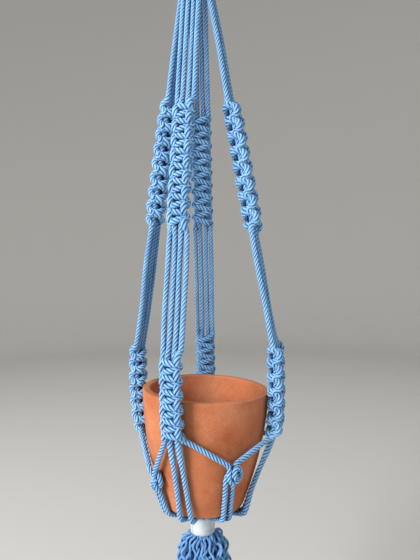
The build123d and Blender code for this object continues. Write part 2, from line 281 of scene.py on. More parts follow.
@dataclass(frozen=True)
class Terracotta(Finish):
    """Unglazed earthenware, thrown and fired: matt, with fine grog, faint throwing rings and dust."""

    name: str = "terracotta_unglazed"
    clay: str = "#CB7B53"
    pale: str = "#D89169"
    deep: str = "#B9663F"
    dust: str = "#E2A884"

    def surface(self, tree: bpy.types.NodeTree) -> tuple[dict, dict]:
        """Add the clay's clouds, grog, dust and throwing rings.

        Args:
            tree: the material's node tree.

        Returns:
            The shader's settings and its links.
        """
        place = add(tree, "ShaderNodeTexCoord").outputs["Object"]
        # the fire's clouds, about 35 mm across
        cloud = add(
            tree, "ShaderNodeTexNoise", {"Scale": 28.0, "Detail": 4.0, "Roughness": 0.55}, {"Vector": place}
        ).outputs["Fac"]
        stops = [(0.3, self.deep), (0.52, self.clay), (0.72, self.pale)]
        fired = add(tree, "ShaderNodeValToRGB", {"stops": stops}, {"Fac": cloud}).outputs["Color"]
        # grog: grains of under 1 mm
        grain = add(
            tree, "ShaderNodeTexNoise", {"Scale": 1300.0, "Detail": 2.0}, {"Vector": place}
        ).outputs["Fac"]
        stops = [(0.35, "#B4B4B4"), (0.6, "#FFFFFF")]
        speck = add(tree, "ShaderNodeValToRGB", {"stops": stops}, {"Fac": grain}).outputs["Color"]
        speckled = add(
            tree,
            "ShaderNodeMix",
            {"data_type": "RGBA", "blend_type": "MULTIPLY", 0: 0.35},
            {6: fired, 7: speck},
        ).outputs[2]
        # dust lies in blots of 10 to 20 mm, nowhere thicker than about a quarter
        bloom = add(
            tree, "ShaderNodeTexNoise", {"Scale": 60.0, "Detail": 6.0, "Roughness": 0.7}, {"Vector": place}
        ).outputs["Fac"]
        stops = [(0.52, "#000000"), (0.75, "#FFFFFF")]
        bloom = add(tree, "ShaderNodeValToRGB", {"stops": stops}, {"Fac": bloom}).outputs["Color"]
        bloom = add(tree, "ShaderNodeMath", {"operation": "MULTIPLY", 1: 0.28}, {0: bloom}).outputs[0]
        colour = add(
            tree, "ShaderNodeMix", {"data_type": "RGBA", 7: linear(self.dust)}, {0: bloom, 6: speckled}
        ).outputs[2]
        # throwing rings about 5 mm apart, up the pot's axis
        rings = add(
            tree,
            "ShaderNodeTexWave",
            {"wave_type": "BANDS", "bands_direction": "Z", "Scale": 65.0, "Distortion": 1.2, "Detail": 2.0},
            {"Vector": place},
        ).outputs["Fac"]
        thrown = add(tree, "ShaderNodeBump", {"Strength": 0.12, "Distance": 0.3 * MM}, {"Height": rings})
        bump = add(
            tree,
            "ShaderNodeBump",
            {"Strength": 0.35, "Distance": 0.15 * MM},
            {"Height": grain, "Normal": thrown.outputs["Normal"]},
        )
        return (
            {"Roughness": 0.88, "Specular IOR Level": 0.3},
            {"Base Color": colour, "Normal": bump.outputs["Normal"]},
        )


@dataclass(frozen=True)
class ClothTape(Finish):
    """White cotton tape: matt, with a fine weave and slightly grubby edges."""

    name: str = "tape_white_cotton"
    white: str = "#D3DCE0"
    shade: str = "#BFC4CA"

    def surface(self, tree: bpy.types.NodeTree) -> tuple[dict, dict]:
        """Add the smears of handling, and the weave with its threads 0.6 mm apart.

        Args:
            tree: the material's node tree.

        Returns:
            The shader's settings and its links.
        """
        place = add(tree, "ShaderNodeTexCoord").outputs["Object"]
        smear = add(
            tree, "ShaderNodeTexNoise", {"Scale": 190.0, "Detail": 4.0}, {"Vector": place}
        ).outputs["Fac"]
        stops = [(0.3, self.shade), (0.6, self.white)]
        colour = add(tree, "ShaderNodeValToRGB", {"stops": stops}, {"Fac": smear}).outputs["Color"]
        weave = add(
            tree,
            "ShaderNodeTexWave",
            {"wave_type": "BANDS", "bands_direction": "Z", "Scale": 520.0, "Distortion": 0.4},
            {"Vector": place},
        ).outputs["Fac"]
        bump = add(tree, "ShaderNodeBump", {"Strength": 0.25, "Distance": 0.06 * MM}, {"Height": weave})
        return {"Roughness": 0.75}, {"Base Color": colour, "Normal": bump.outputs["Normal"]}


@dataclass(frozen=True)
class TurnedBeech(Finish):
    """Turned beech, oiled: pale, with short brown flecks along the grain and a soft shine."""

    name: str = "beech_turned_oiled"
    wood: str = "#D9B184"
    vein: str = "#B98A58"

    def surface(self, tree: bpy.types.NodeTree) -> tuple[dict, dict]:
        """Add the grain, which runs straight across the ring, with growth rings about 2 mm apart.

        Args:
            tree: the material's node tree.

        Returns:
            The shader's settings and its links.
        """
        place = add(tree, "ShaderNodeTexCoord").outputs["Object"]
        grain = add(
            tree, "ShaderNodeMapping", {"Scale": (60.0, 700.0, 500.0)}, {"Vector": place}
        ).outputs["Vector"]
        streak = add(
            tree, "ShaderNodeTexNoise", {"Scale": 1.0, "Detail": 4.0, "Roughness": 0.6}, {"Vector": grain}
        ).outputs["Fac"]
        stops = [(0.3, self.vein), (0.62, self.wood)]
        colour = add(tree, "ShaderNodeValToRGB", {"stops": stops}, {"Fac": streak}).outputs["Color"]
        bump = add(tree, "ShaderNodeBump", {"Strength": 0.15, "Distance": 0.1 * MM}, {"Height": streak})
        return {"Roughness": 0.42}, {"Base Color": colour, "Normal": bump.outputs["Normal"]}


@dataclass(frozen=True)
class PalePaper(Finish):
    """The backdrop's paper: matt and plain."""

    name: str = "backdrop_paper_pale"
    colour: str = "#D6D4D0"

    def surface(self, tree: bpy.types.NodeTree) -> tuple[dict, dict]:
        """Add nothing: paper has no pattern."""
        return {"Base Color": linear(self.colour), "Roughness": 0.95}, {}


# --- cord ---


def curve_mesh(curve: bpy.types.Curve) -> bpy.types.Mesh:
    """Turn a curve to a mesh, which uses it up.

    Args:
        curve: the curve.

    Returns:
        Its mesh.
    """
    holder = bpy.data.objects.new(curve.name, curve)
    mesh = bpy.data.meshes.new_from_object(holder)
    bpy.data.objects.remove(holder)
    bpy.data.curves.remove(curve)
    return mesh


def spline_points(control: list[Vector], resolution: int = 14) -> np.ndarray:
    """Points of the smooth NURBS line that a row of control points gives.

    Args:
        control: control points, in mm.
        resolution: points for each stretch of the spline.

    Returns:
        The points, in mm, one row each.
    """
    curve = bpy.data.curves.new("route", "CURVE")
    curve.dimensions = "3D"
    spline = curve.splines.new("NURBS")
    spline.points.add(len(control) - 1)
    for point, place in zip(spline.points, control):
        point.co = (*place, 1.0)
    spline.order_u = 3
    spline.use_endpoint_u = True
    spline.resolution_u = resolution
    curve.resolution_u = resolution
    mesh = curve_mesh(curve)
    points = np.empty(len(mesh.vertices) * 3)
    mesh.vertices.foreach_get("co", points)
    bpy.data.meshes.remove(mesh)
    return points.reshape(-1, 3)


def even_points(points: np.ndarray, step: float) -> np.ndarray:
    """Points at an even spacing along a line.

    Args:
        points: the line's points.
        step: spacing wanted.

    Returns:
        The new points, from the first to the last.
    """
    run = np.concatenate([[0], np.cumsum(np.linalg.norm(np.diff(points, axis=0), axis=1))])
    at = np.linspace(0, run[-1], max(3, int(run[-1] / step) + 1))
    return np.stack([np.interp(at, run, points[:, i]) for i in range(3)], axis=1)


def steady_frames(points: np.ndarray) -> tuple[np.ndarray, np.ndarray]:
    """Directions across a line that turn as little as they can.

    Args:
        points: the line's points.

    Returns:
        Unit vectors across the line, and at right angles to them and the line, one row for each point.
    """
    along = np.gradient(points, axis=0)
    along /= np.linalg.norm(along, axis=1)[:, None]
    askew = (0.31, 0.87, 0.39)  # no route starts this way
    first = np.cross(along[0], askew)
    across = [first / np.linalg.norm(first)]
    for before, after in zip(along, along[1:]):
        mirror = before + after
        flat = across[-1] - mirror * (2 * (across[-1] @ mirror) / (mirror @ mirror))
        flat = -flat if flat @ across[-1] < 0 else flat
        flat = flat - after * (flat @ after)
        across.append(flat / np.linalg.norm(flat))
    across = np.array(across)
    return across, np.cross(along, across)


@dataclass
class Strands:
    """Strands gathered for one piece, each a line of points with the way that its fibres run."""

    lines: list[np.ndarray] = field(default_factory=list)
    runs: list[np.ndarray] = field(default_factory=list)
    cores: list[np.ndarray] = field(default_factory=list)
    swells: list[np.ndarray] = field(default_factory=list)
    sides: int = 8
    pattern_span: float = 900.0  # mm of the fibre pattern in which a strand finds its own place
    groove_share: float = 0.5  # of the cord's radius, with the painted shade darkest from there inwards

    def take(self, line: np.ndarray, run: np.ndarray, core: np.ndarray, swell: np.ndarray) -> None:
        """Keep one strand.

        Args:
            line: its points.
            run: distance along it of each point.
            core: the middle of its cord beside each point.
            swell: its cord's size at each point, 1 where it is taut.
        """
        self.lines.append(line)
        self.runs.append(run)
        self.cores.append(core)
        self.swells.append(swell)

    def mesh(self, strand_d: float, cord_r: float, seed: int) -> bpy.types.Mesh:
        """Sweep every strand round and close its ends.

        Args:
            strand_d: diameter of a strand, in mm.
            cord_r: radius of the whole cord, in mm.
            seed: seed for each strand's own place in the fibre pattern.

        Returns:
            The mesh, in metres, with its fibre and crest attributes.
        """
        curve = bpy.data.curves.new("strands", "CURVE")
        curve.dimensions = "3D"
        curve.bevel_depth = strand_d / 2 * MM
        curve.bevel_resolution = (self.sides - 4) // 2
        for line, swell in zip(self.lines, self.swells):
            spline = curve.splines.new("POLY")
            spline.points.add(len(line) - 1)
            flat = np.ones((len(line), 4))
            flat[:, :3] = line * MM
            spline.points.foreach_set("co", flat.ravel())
            spline.points.foreach_set("radius", swell)
        mesh = curve_mesh(curve)
        self.mark(mesh, strand_d, cord_r, random.Random(seed))
        shell = bmesh.new()
        shell.from_mesh(mesh)
        bmesh.ops.holes_fill(shell, edges=[e for e in shell.edges if e.is_boundary], sides=self.sides)
        shell.to_mesh(mesh)
        shell.free()
        smooth(mesh)
        return mesh

    def mark(self, mesh: bpy.types.Mesh, strand_d: float, cord_r: float, chance: random.Random) -> None:
        """Write the fibre and crest attributes.

        Args:
            mesh: the swept strands, in metres.
            strand_d: diameter of a strand, in mm.
            cord_r: radius of the whole cord, in mm.
            chance: gives each strand its own place in the fibre pattern.
        """
        turn = np.arange(self.sides) * 2 * math.pi / self.sides
        ring = np.stack([np.cos(turn), np.sin(turn)], axis=1) * strand_d / 2
        fibres = []
        for line, run in zip(self.lines, self.runs):
            block = np.empty((len(line), self.sides, 3))
            block[:, :, 0] = run[:, None]
            block[:, :, 1:] = ring[None]
            shift = np.array([chance.uniform(0, self.pattern_span) for _ in range(3)])
            fibres.append((block + shift).reshape(-1, 3))
        fibre = np.concatenate(fibres)
        core = np.concatenate([np.repeat(core, self.sides, axis=0) for core in self.cores])
        swell = np.concatenate([np.repeat(swell, self.sides) for swell in self.swells])
        spot = np.empty(len(mesh.vertices) * 3)
        mesh.vertices.foreach_get("co", spot)
        away = np.linalg.norm(spot.reshape(-1, 3) / MM - core, axis=1) / swell
        low = self.groove_share * cord_r
        # crest runs from 0 deep in the grooves to 1 on the strands' crests, and sets where the material
        # paints shade
        crest = np.clip((away - low) / (cord_r - low), 0, 1)
        kept = mesh.attributes.new("fibre", "FLOAT_VECTOR", "POINT")
        kept.data.foreach_set("vector", fibre.astype(np.float32).ravel())
        kept = mesh.attributes.new("crest", "FLOAT", "POINT")
        kept.data.foreach_set("value", crest.astype(np.float32))


@dataclass(frozen=True)
class Cord:
    """Four-strand cotton cord with a Z twist."""

    diameter: float = 2 * CORD_R
    strand_d: float = 1.7
    lay: float = 12.4
    strand_count: int = 4
    step: float = 0.8

    @property
    def radius(self) -> float:
        """Radius of the whole cord."""
        return self.diameter / 2

    def twist(self, points: np.ndarray, phase: float, swell: np.ndarray) -> list[np.ndarray]:
        """Lines of the strands round a cord's middle line.

        Args:
            points: the cord's middle line, evenly spaced.
            phase: turn of the first strand at the first point, in radians.
            swell: the cord's size at each point, 1 where it is taut.

        Returns:
            One line of points for each strand.
        """
        across, beside = steady_frames(points)
        run = np.arange(len(points)) * np.linalg.norm(points[1] - points[0])
        ring = (self.radius - self.strand_d / 2) * swell[:, None]
        lines = []
        for i in range(self.strand_count):
            turn = (phase + 2 * math.pi * (run / self.lay + i / self.strand_count))[:, None]
            lines.append(points + ring * (np.cos(turn) * across + np.sin(turn) * beside))
        return lines


@dataclass
class Stretch:
    """A stretch of a leg: the piece that it belongs to, its control points in mm, and its swelling."""

    piece: str
    control: list[Vector]
    swell: float = 1.0


@dataclass
class CordWork:
    """Collects the strands of every leg, piece by piece, and makes the pieces."""

    cord: Cord
    finish: bpy.types.Material
    pieces: dict[str, Strands] = field(default_factory=dict)
    lengths: dict[str, float] = field(default_factory=dict)
    swell_points: int = 9  # points over which a cord swells where it slackens

    def lay(self, name: str, stretches: list[Stretch], phase: float) -> None:
        """Twist one whole leg and share it out to its pieces.

        Args:
            name: the leg's name, for the report.
            stretches: its stretches, in order.
            phase: turn of its first strand, in radians.
        """
        control = [p for s in stretches for p in s.control]
        rough = spline_points(control)
        line = even_points(rough, self.cord.step)
        run = np.concatenate([[0], np.cumsum(np.linalg.norm(np.diff(rough, axis=0), axis=1))])
        self.lengths[name] = float(run[-1])
        ends, passed = [0], 0
        for stretch in stretches[:-1]:
            passed += len(stretch.control)
            share = (passed - 1) / (len(control) - 2)
            reached = run[int(round(share * (len(run) - 1)))]
            ends.append(int(round(reached / run[-1] * (len(line) - 1))))
        ends.append(len(line) - 1)
        distance = np.linspace(0, run[-1], len(line))
        swell = np.ones(len(line))
        for stretch, start, end in zip(stretches, ends, ends[1:]):
            swell[start : end + 1] = stretch.swell
        count = self.swell_points
        swell = np.convolve(np.pad(swell, count // 2, mode="edge"), np.ones(count) / count, mode="valid")
        for strand in self.cord.twist(line, phase, swell):
            for stretch, start, end in zip(stretches, ends, ends[1:]):
                kept = self.pieces.setdefault(stretch.piece, Strands())
                part = slice(start, end + 1)
                kept.take(strand[part], distance[part], line[part], swell[part])

    def make(self, piece: str) -> bpy.types.Object:
        """Make one piece, and set it in place of the CAD node of the same name.

        Args:
            piece: the piece's name.

        Returns:
            The piece.
        """
        seed = sum(map(ord, piece))
        made = link_object(self.pieces[piece].mesh(self.cord.strand_d, self.cord.radius, seed), piece)
        made.data.materials.append(self.finish)
        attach(made, "hanger")
        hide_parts(piece)
        return made


# --- the hanger's layout, in mm: the part's own sizes, but for how its soft cords lie ---


def outwards(azimuth: float) -> Vector:
    """Horizontal direction of an azimuth in degrees."""
    return Vector((math.cos(math.radians(azimuth)), math.sin(math.radians(azimuth)), 0))


def sideways(azimuth: float) -> Vector:
    """Horizontal direction across an azimuth, anticlockwise."""
    return Vector((-math.sin(math.radians(azimuth)), math.cos(math.radians(azimuth)), 0))


def axis_at(z: float) -> Vector:
    """Point at a height on the hanger's axis."""
    return Vector((0, 0, z))


def place(azimuth: float, radius: float, z: float, across: float = 0.0) -> Vector:
    """Point at a radius and height on an azimuth, or beside it."""
    return outwards(azimuth) * radius + sideways(azimuth) * across + axis_at(z)


@dataclass(frozen=True)
class Pot:
    """The terracotta pot's outline, and its lean in the sling."""

    rim_d: float = 100.6
    height: float = 89.5
    wall_bulge: float = 2.6
    bulge_h: float = 60.0
    foot_d: float = 71.4
    foot_h: float = 10.0
    heel_r: float = 4.0
    lean: float = math.radians(2.5)
    base: float = -516.5
    wall_x: float = field(init=False)
    wall_y: float = field(init=False)
    wall_r: float = field(init=False)
    heel_x: float = field(init=False)

    def __post_init__(self) -> None:
        """Work out the wall's arc, through points at the foot, bulge and rim, and the heel's middle."""
        foot, rim = self.foot_d / 2, self.rim_d / 2
        straight = foot + (rim - foot) * (self.bulge_h - self.foot_h) / (self.height - self.foot_h)
        ax, ay = straight + self.wall_bulge - foot, self.bulge_h - self.foot_h
        bx, by = rim - foot, self.height - self.foot_h
        a2, b2, turn = ax * ax + ay * ay, bx * bx + by * by, 2 * (ax * by - ay * bx)
        cx, cy = (by * a2 - ay * b2) / turn, (ax * b2 - bx * a2) / turn
        wall_r, wall_y = math.hypot(cx, cy), self.foot_h + cy
        heel_x = foot + cx + math.sqrt((wall_r - self.heel_r) ** 2 - (self.heel_r - wall_y) ** 2)
        found = {"wall_x": foot + cx, "wall_y": wall_y, "wall_r": wall_r, "heel_x": heel_x}
        for key, value in found.items():
            object.__setattr__(self, key, value)

    def wall_radius(self, height: float, out: float = 0.0) -> float:
        """Radius of the outer wall at a height, or of a surface that stands out from it."""
        return self.wall_x + math.sqrt((self.wall_r + out) ** 2 - (height - self.wall_y) ** 2)

    def out(self, azimuth: float, radius: float, height: float) -> tuple[float, float]:
        """Turn a place in the leaning pot to one in the hanger.

        Args:
            azimuth: the place's azimuth.
            radius: its radius from the pot's own axis.
            height: its height above the pot's own base.

        Returns:
            Radius and height in the hanger.
        """
        tip = self.lean * math.cos(math.radians(azimuth))
        return (
            radius * math.cos(tip) + height * math.sin(tip),
            self.base + height * math.cos(tip) - radius * math.sin(tip),
        )

    def inside(self, azimuth: float, radius: float, z: float) -> tuple[float, float]:
        """Turn a place in the hanger to one in the leaning pot, the reverse of out."""
        tip, up = self.lean * math.cos(math.radians(azimuth)), z - self.base
        return radius * math.cos(tip) - up * math.sin(tip), up * math.cos(tip) + radius * math.sin(tip)


@dataclass(frozen=True)
class Layout:
    """Heights and sizes shared by the arms, the knots and the gathering."""

    filler_pitch: float = 4.2
    row_pitch: float = 4.6
    seat_gap: float = 0.4
    core_r: float = 2.9  # middles of the bundle's inner cords
    ring_r: float = 6.9  # middles of its outer cords
    head_r: float = 5.4  # where an arm's taut line leaves the bundle
    neck_top: float = -59.5
    neck_bottom: float = -79.5
    fan_bottom: float = -122.5
    band_top: float = -528.1
    band_bottom: float = -541.7
    sinnet_t: float = 11.5
    gather_r: float = 17.5
    gather_depth: float = 6.7
    gather_slope: float = 0.41
    knot_t: float = 9.0
    knot_h: float = 16.8
    ring_middle: float = -18.5
    wire_middle: float = -41.5
    pot: Pot = Pot()

    def in_bundle(self, azimuth: float, inner: bool) -> Vector:
        """Place of a cord in the round bundle, in its outer ring or its core."""
        return outwards(azimuth) * (self.core_r if inner else self.ring_r)


@dataclass(frozen=True)
class Arm:
    """An arm of four cords, knotted at its own heights below the hook."""

    name: str
    azimuth: float
    upper_top: float
    upper_pitch: float
    lower_top: float
    lower_pitch: float
    lower_wraps: int
    stand_off: float  # from the pot's rim to the lower sinnet
    splay: tuple[float, float]  # where its fillers lie, across, as they round the pot's heel
    tuck: float = 0.0  # how much nearer the pot its first filler leaves the lower sinnet
    bow: float = 11.0  # how sharply the lower sinnet bows in to the pot
    wide: float = 1.0  # width of its sinnets, as a share of the usual
    lay: Layout = Layout()
    upper_wraps: int = 16

    @property
    def rim_radius(self) -> float:
        """Radius of the middle of the lower sinnet."""
        pot = self.lay.pot
        return pot.out(self.azimuth, pot.rim_d / 2, pot.height)[0] + self.lay.sinnet_t / 2 + self.stand_off

    @property
    def head(self) -> Vector:
        """Where the arm leaves the taped neck."""
        return place(self.azimuth, self.lay.head_r, self.lay.neck_bottom)

    @property
    def foot(self) -> Vector:
        """Where the taut cords reach the lower sinnet."""
        return place(self.azimuth, self.rim_radius, -self.lower_top)

    @property
    def pull(self) -> Vector:
        """Direction of the taut line, upwards."""
        return (self.head - self.foot).normalized()

    @property
    def end_radius(self) -> float:
        """Radius at which the cords leave the lower sinnet, whose crown is about half way down."""
        return self.rim_radius - self.bow / 4

    @property
    def lower_end(self) -> float:
        """Height at which the lower sinnet ends."""
        return -self.lower_top - self.lower_wraps * self.lower_pitch

    def taut(self, z: float) -> Vector:
        """Point at a height on the taut line."""
        share = (z - self.lay.neck_bottom) / (-self.lower_top - self.lay.neck_bottom)
        return self.head + (self.foot - self.head) * share


@dataclass(frozen=True)
class KnotFrame:
    """A place to tie a knot: its top, with the directions across, outwards and down."""

    top: Vector
    right: Vector
    front: Vector
    down: Vector

    def at(self, right: float, front: float, down: float) -> Vector:
        """Point given in mm to the right, to the front and down."""
        return self.top + self.right * right + self.front * front + self.down * down


@dataclass(frozen=True)
class Sinnet:
    """A run of square knots: two working cords tied by turns round two fillers."""

    frame: KnotFrame
    pitch: float
    wraps: int
    tail: float = 3.0
    back: float = 4.5
    front: float = 5.2
    bow: float = 0.0
    crown: float = 0.5
    wide: float = 1.0

    @property
    def length(self) -> float:
        """Length of the run."""
        return self.pitch * self.wraps

    def at(self, right: float, front: float, down: float) -> Vector:
        """Point of the run, which bows in to the pot below the rim's level, its crown."""
        past = max(0.0, down / self.length - self.crown)
        return self.frame.at(right * self.wide, front - self.bow * past**2, down)

    def working(self, layer: Layer) -> list[Vector]:
        """Control points of a working cord through the whole run.

        Args:
            layer: the cord whose bars cross in front, or the one whose bars cross behind.

        Returns:
            The points, from just above the run to just below it.
        """
        p, at, back, front = self.pitch, self.at, self.back, self.front
        sides = [(-1) ** i for i in range(self.wraps)]
        if layer is Layer.FRONT:
            # its bars zigzag down across the fillers, and it turns back outside the other cord's limbs
            bar = (-6.0, 2.0, 0.22), (-2.7, 4.5, 0.4), (2.7, 4.5, 0.6), (6.0, 2.0, 0.78), (6.7, 0.3, 1.0)
            points = [at(-5.9, 0.0, -2.5), at(-6.6, -0.6, 0.0)]
            for i, s in enumerate(sides):
                points += [at(x * s, y, (i + z) * p) for x, y, z in bar]
            return [*points, at(5.9 * sides[-1], 0.0, self.length + self.tail)]
        # it passes behind the fillers and bulges round the front of the bars' ends, side after side
        bar = (
            (5.2, front - 0.3, 0.5),
            (5.0, 0.4, 0.84),
            (4.8, 0.6 - back, 0.86),
            (0.0, -back, 0.5),
            (-4.8, 0.6 - back, 0.14),
            (-5.0, 0.4, 0.16),
            (-5.2, front - 0.3, 0.5),
        )
        points = [at(5.9, 0.1, -3.5), at(5.7, 3.6, -0.4 * p)]
        for i, s in enumerate(sides):
            points += [at(x * s, y, (i + z) * p) for x, y, z in bar]
            if i < self.wraps - 1:
                points.append(at(-5.4 * s, front, (i + 1.0) * p))
        last, end = -sides[-1], self.length
        return [*points, at(5.7 * last, 3.6, end + 0.3 * p), at(5.9 * last, 0.0, end + self.tail)]

    def filler(self, side: Side) -> list[Vector]:
        """Control points of a filler cord, straight through the middle."""
        return [self.at(2.9 * side.value, 1.5, quarter / 4 * self.length) for quarter in range(5)]


@dataclass(frozen=True)
class MidKnot:
    """An overhand knot that ties a cord of one arm to a cord of the next."""

    name: str
    azimuth: float
    height: float
    arm_before: int
    arm_after: int
    splay: tuple[float, float]
    turned: bool
    pitch: float = 4.3
    lay: Layout = Layout()

    @property
    def frame(self) -> KnotFrame:
        """Place of the knot on the pot's wall.

        Returns:
            Its frame, whose top is the knot's top.
        """
        lay, pot = self.lay, self.lay.pot
        out = lay.knot_t / 2 + lay.seat_gap
        level = pot.wall_y + (pot.wall_r + out) * (self.height - pot.wall_y) / pot.wall_r
        radius, z = pot.out(self.azimuth, pot.wall_radius(level, out), level)
        below = pot.wall_y - self.height
        slope = math.atan2(below, math.sqrt(pot.wall_r**2 - below**2))
        tip = slope + pot.lean * math.cos(math.radians(self.azimuth))
        up = outwards(self.azimuth) * math.sin(tip) + Vector((0, 0, math.cos(tip)))
        right = sideways(self.azimuth)
        return KnotFrame(place(self.azimuth, radius, z) + up * lay.knot_h / 2, right, right.cross(up), -up)

    def turns(self, side: Side) -> list[Vector]:
        """Control points of one of its two cords, from above the knot to below it.

        Args:
            side: the side that the cord comes from.

        Returns:
            The points.
        """
        foot = self.pitch / 2
        if side is Side.CLOCKWISE:
            # coils down, under and up round its own middle, goes in there, and comes out behind at the left
            turns = (
                (-3.0, 1.0, 0.5),
                (-2.0, 1.8, 3.2),
                (-2.3, 2.6, 7.4),
                (-1.8, 3.0, 12.2),
                (1.8, 3.2, 13.8),
                (5.4, 3.2, 11.4),
                (6.2, 3.2, 6.4),
                (4.4, 3.4, 1.8),
                (1.2, 4.0, 1.8),
                (0.1, 4.8, 5.0),
                (0.8, 5.2, 8.6),
                (2.8, 4.8, 8.4),
                (3.4, 2.0, 6.5),
                (1.6, -2.0, 8.0),
                (-1.6, -2.4, 12.0),
                (-foot, -0.8, 16.8),
            )
        else:
            turns = (
                (3.0, 1.0, 0.5),
                (2.2, 0.2, 3.5),
                (1.8, -0.6, 8.0),
                (2.0, -0.6, 12.5),
                (foot, -0.6, 16.8),
            )
        if self.turned:
            # the coil lies against the pot, and the outside shows the cords' plain turns
            turns = [(0.85 * x, 1.3 - 0.75 * y, z) if 1 < z < 16 else (x, y, z) for x, y, z in turns]
        return [self.frame.at(*spot) for spot in turns]

    def below(self) -> tuple[float, float]:
        """Radius and height just above the knot's lower end."""
        point = self.frame.at(0, 0, self.lay.knot_h - 2.5)
        return math.hypot(point.x, point.y), point.z


@dataclass(frozen=True)
class Sling:
    """The runs down the pot's wall, round its heel and in to the gathering and the band."""

    lay: Layout = Layout()

    def tangent(
        self, point: tuple[float, float], centre: tuple[float, float], radius: float, side: int
    ) -> float:
        """Find where a straight run from a point comes to lie on a round surface.

        Args:
            point: where the run starts.
            centre: middle of the round.
            radius: its radius.
            side: on which side of the round the run passes, -1 or 1.

        Returns:
            Angle of the surface's normal there.
        """
        dx, dy = point[0] - centre[0], point[1] - centre[1]
        return math.atan2(dy, dx) + side * math.acos(radius / math.hypot(dx, dy))

    def corner(self, azimuth: float, start: tuple[float, float]) -> tuple[float, float]:
        """Where the run down the wall and the run in under the heel meet.

        Args:
            azimuth: the run's azimuth.
            start: radius and height where it starts.

        Returns:
            Radius and height in the hanger.
        """
        lay, pot = self.lay, self.lay.pot
        inwards = 1.5
        end = (lay.gather_r - inwards, pot.base - lay.gather_depth - inwards * lay.gather_slope)
        out = CORD_R + lay.seat_gap
        wall = self.tangent(pot.inside(azimuth, *start), (pot.wall_x, pot.wall_y), pot.wall_r + out, -1)
        heel = self.tangent(pot.inside(azimuth, *end), (pot.heel_x, pot.heel_r), pot.heel_r + out, 1)
        reach_wall = pot.wall_x * math.cos(wall) + pot.wall_y * math.sin(wall) + pot.wall_r + out
        reach_heel = pot.heel_x * math.cos(heel) + pot.heel_r * math.sin(heel) + pot.heel_r + out
        turn = math.sin(heel - wall)
        return pot.out(
            azimuth,
            (reach_wall * math.sin(heel) - reach_heel * math.sin(wall)) / turn,
            (reach_heel * math.cos(wall) - reach_wall * math.cos(heel)) / turn,
        )

    def run(
        self,
        azimuth: float,
        start: tuple[float, float],
        side: Side,
        splay: tuple[float, float],
        pitch: float,
        bundle: Vector,
    ) -> tuple[list[Vector], list[Vector]]:
        """Control points of a cord from a knot round the heel, and of its end in the gathering.

        Args:
            azimuth: the run's azimuth.
            start: radius and height where it leaves the knot.
            side: which of the pair it is.
            splay: where the pair's two cords lie, across the azimuth, as they round the heel.
            pitch: how far apart the two cords start.
            bundle: its place in the band, across the axis.

        Returns:
            Points of the run, and points of the gathering.
        """
        lay = self.lay
        across = pitch / 2 * side.value
        heel = splay[0 if side is Side.CLOCKWISE else 1]
        corner = Vector(self.corner(azimuth, start))
        wall = Vector(start) - corner
        mouth = Vector((lay.gather_r, lay.pot.base - lay.gather_depth))
        under = mouth - corner
        far, near = 24.0, 7.0  # how far from the corner its neighbouring points lie
        run = []
        for reach in (far, near, 0.0):
            part = min(0.8, reach / wall.length)
            run.append(place(azimuth, *(corner + wall * part), heel + (across - heel) * part))
        gathered = [
            place(azimuth, *(corner + under * (near / under.length)), heel + (across - heel) * 0.3),
            place(azimuth, *mouth, 0.9 * across),
            bundle * 1.15 + axis_at(lay.band_top + 2.0),
            bundle + axis_at(lay.band_top - 5.0),
            bundle + axis_at(lay.band_bottom + 3.0),
        ]
        return run, gathered


